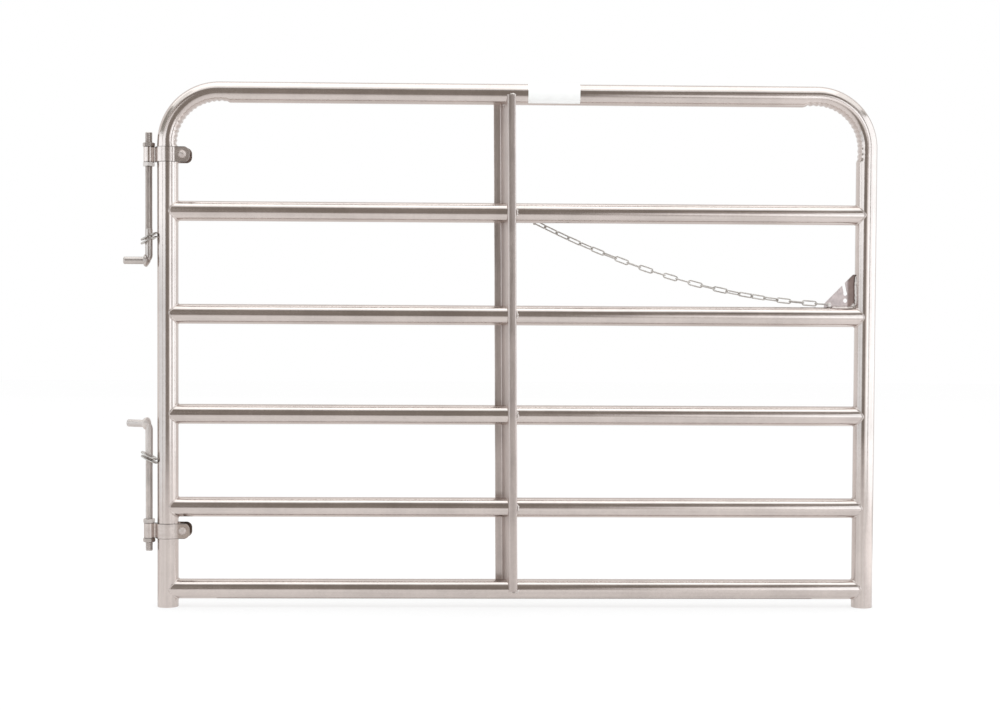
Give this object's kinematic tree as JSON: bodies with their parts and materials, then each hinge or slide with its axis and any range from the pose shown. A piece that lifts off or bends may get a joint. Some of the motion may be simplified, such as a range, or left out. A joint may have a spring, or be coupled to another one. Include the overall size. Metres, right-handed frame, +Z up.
{
  "type": "tubular field gate",
  "caption": "Galvanised tube gate with bent corners, level rails, a folded centre brace, strap hinges with hook bolts, and a chain with a slotted latch plate.",
  "frame": {"origin": "on the hinge line (the upright axis of both hook bolts), at ground level", "axes": "+X from the hinges to the latch along the gate, +Y to the back, +Z up"},
  "size_m": [1.8256, 0.0629, 1.2702],
  "materials": {
    "galvanised_tube": "bright zinc coated tube, slightly streaked",
    "galvanised_strap": "bright zinc coated flat strap",
    "galvanised_sheet": "duller zinc coated sheet",
    "zinc_hardware": "dull zinc plated bolts, nuts, washers and chain",
    "weld_metal": "bright rippled weld beads",
    "blank_label": "blank white film"
  },
  "bodies": {
    "gate": {"frame_tube": "galvanised_tube", "z_brace": "galvanised_sheet", "left_welds": "weld_metal", "right_welds": "weld_metal", "brace_welds": "weld_metal", "rail_1": "galvanised_tube", "rail_2": "galvanised_tube", "rail_3": "galvanised_tube", "rail_4": "galvanised_tube", "rail_5": "galvanised_tube", "upper_strap": "galvanised_strap", "upper_strap_bolt": "zinc_hardware", "upper_strap_nut": "zinc_hardware", "lower_strap": "galvanised_strap", "lower_strap_bolt": "zinc_hardware", "lower_strap_nut": "zinc_hardware", "latch_plate": "galvanised_sheet", "plate_welds": "weld_metal", "chain_anchor": "zinc_hardware", "anchor_weld": "weld_metal", "chain_keeper": "zinc_hardware", "label": "blank_label"},
    "upper_hook": {"upper_hook_bolt": "zinc_hardware", "upper_end_nut": "zinc_hardware", "upper_inner_nut": "zinc_hardware"},
    "lower_hook": {"lower_hook_bolt": "zinc_hardware", "lower_end_nut": "zinc_hardware", "lower_inner_nut": "zinc_hardware"},
    "upper_washers": {"upper_washer_1": "zinc_hardware", "upper_washer_2": "zinc_hardware"},
    "lower_washers": {"lower_washer_1": "zinc_hardware", "lower_washer_2": "zinc_hardware"},
    "latch_chain": {"chain_link_1": "zinc_hardware", "chain_link_2": "zinc_hardware", "chain_link_3": "zinc_hardware", "chain_link_4": "zinc_hardware", "chain_link_5": "zinc_hardware", "chain_link_6": "zinc_hardware", "chain_link_7": "zinc_hardware", "chain_link_8": "zinc_hardware", "chain_link_9": "zinc_hardware", "chain_link_10": "zinc_hardware", "chain_link_11": "zinc_hardware", "chain_link_12": "zinc_hardware", "chain_link_13": "zinc_hardware", "chain_link_14": "zinc_hardware", "chain_link_15": "zinc_hardware", "chain_link_16": "zinc_hardware", "chain_link_17": "zinc_hardware", "chain_link_18": "zinc_hardware", "chain_link_19": "zinc_hardware", "chain_link_20": "zinc_hardware", "chain_link_21": "zinc_hardware", "chain_link_22": "zinc_hardware", "chain_link_23": "zinc_hardware"}
  },
  "joints": [
    {"name": "upper_hook_turn", "type": "hinge", "parent": "gate", "child": "upper_hook", "pos_m": [0, 0, 0.8383], "axis": [0, 0, 1], "range_deg": [-125, 125]},
    {"name": "lower_hook_turn", "type": "hinge", "parent": "gate", "child": "lower_hook", "pos_m": [0, 0, 0.44355], "axis": [0, 0, 1], "range_deg": [-101, 149]},
    {"name": "upper_washer_slide", "type": "slide", "parent": "gate", "child": "upper_washers", "axis": [0, 0, 1], "range_m": [-0.012, 0.15]},
    {"name": "lower_washer_slide", "type": "slide", "parent": "gate", "child": "lower_washers", "axis": [0, 0, 1], "range_m": [-0.118, 0.038]},
    {"name": "chain_swing", "type": "hinge", "parent": "gate", "child": "latch_chain", "pos_m": [0.93004, 0.02316, 0.94002], "axis": [0.9609, -0.0309, -0.275], "range_deg": [-28, 28]}
  ]
}
